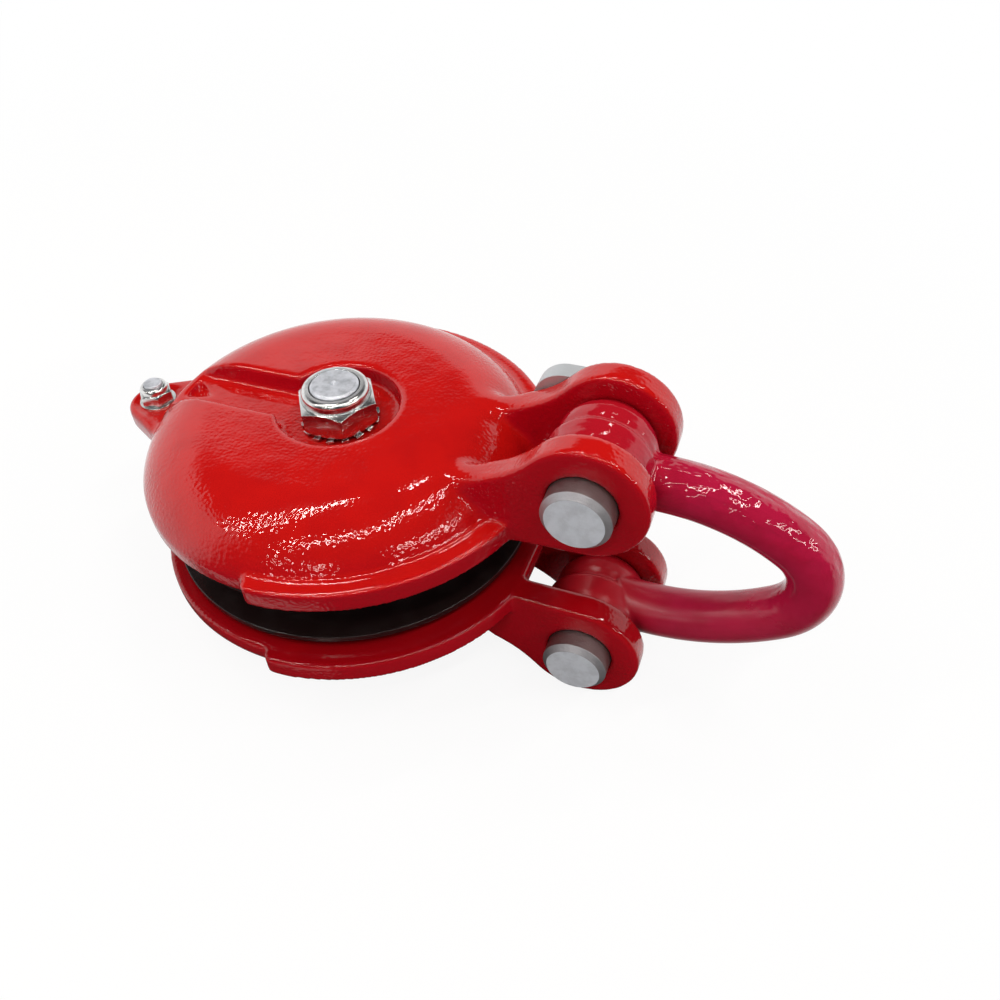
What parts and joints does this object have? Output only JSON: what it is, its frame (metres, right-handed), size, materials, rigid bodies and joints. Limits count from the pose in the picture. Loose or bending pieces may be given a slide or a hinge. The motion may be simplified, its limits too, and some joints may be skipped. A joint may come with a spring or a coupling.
{
  "type": "snatch block",
  "caption": "Flat rope pulley block: grooved sheave between two dished cast cheeks with forked ears, closed by a curved bar link on two pull-out pins.",
  "frame": {"origin": "middle of the rope groove, on the sheave's axis", "axes": "+Z along the sheave's axis to the nut side, +X to the head where the link is, +Y to the side of the pin heads"},
  "size_m": [0.3167, 0.176, 0.1376],
  "materials": {
    "red_enamel": "thick gloss enamel over a fine cast skin",
    "link_enamel": "thick gloss enamel over forged steel",
    "black_enamel": "black gloss enamel",
    "bronze": "turned bearing bronze",
    "hardened_steel": "ground and hardened steel",
    "bright_zinc": "bright zinc plate",
    "matt_zinc": "matt zinc plate",
    "nylon": "dark nylon"
  },
  "bodies": {
    "block": {"upper_cheek": "red_enamel", "lower_cheek": "red_enamel", "inner_sleeve": "hardened_steel", "upper_thrust_washer": "bronze", "lower_thrust_washer": "bronze", "centre_bolt": "bright_zinc", "centre_nut": "bright_zinc", "centre_nut_insert": "nylon", "upper_lock_washer": "bright_zinc", "lower_lock_washer": "bright_zinc", "tail_bolt": "bright_zinc", "tail_nut": "bright_zinc", "tail_nut_insert": "nylon", "upper_tail_washer": "bright_zinc", "lower_tail_washer": "bright_zinc", "tail_distance_tube": "matt_zinc", "shackle": "link_enamel"},
    "sheave": {"sheave": "black_enamel", "sheave_bush": "bronze"},
    "upper_pin": {"upper_pin": "matt_zinc"},
    "lower_pin": {"lower_pin": "matt_zinc"},
    "upper_keeper": {"upper_keeper_bolt": "matt_zinc", "upper_keeper_washer": "matt_zinc"},
    "lower_keeper": {"lower_keeper_bolt": "matt_zinc", "lower_keeper_washer": "matt_zinc"}
  },
  "joints": [
    {"name": "sheave_spin", "type": "hinge", "parent": "block", "child": "sheave", "pos_m": [0, 0, 0], "axis": [0, 0, 1], "continuous": true},
    {"name": "upper_pin_pull", "type": "slide", "parent": "block", "child": "upper_pin", "axis": [0, 1, 0], "range_m": [0, 0.07]},
    {"name": "lower_pin_pull", "type": "slide", "parent": "block", "child": "lower_pin", "axis": [0, 1, 0], "range_m": [0, 0.07]},
    {"name": "upper_keeper_unscrew", "type": "slide", "parent": "upper_pin", "child": "upper_keeper", "axis": [0, 1, 0], "range_m": [0, 0.022]},
    {"name": "lower_keeper_unscrew", "type": "slide", "parent": "lower_pin", "child": "lower_keeper", "axis": [0, 1, 0], "range_m": [0, 0.022]}
  ]
}
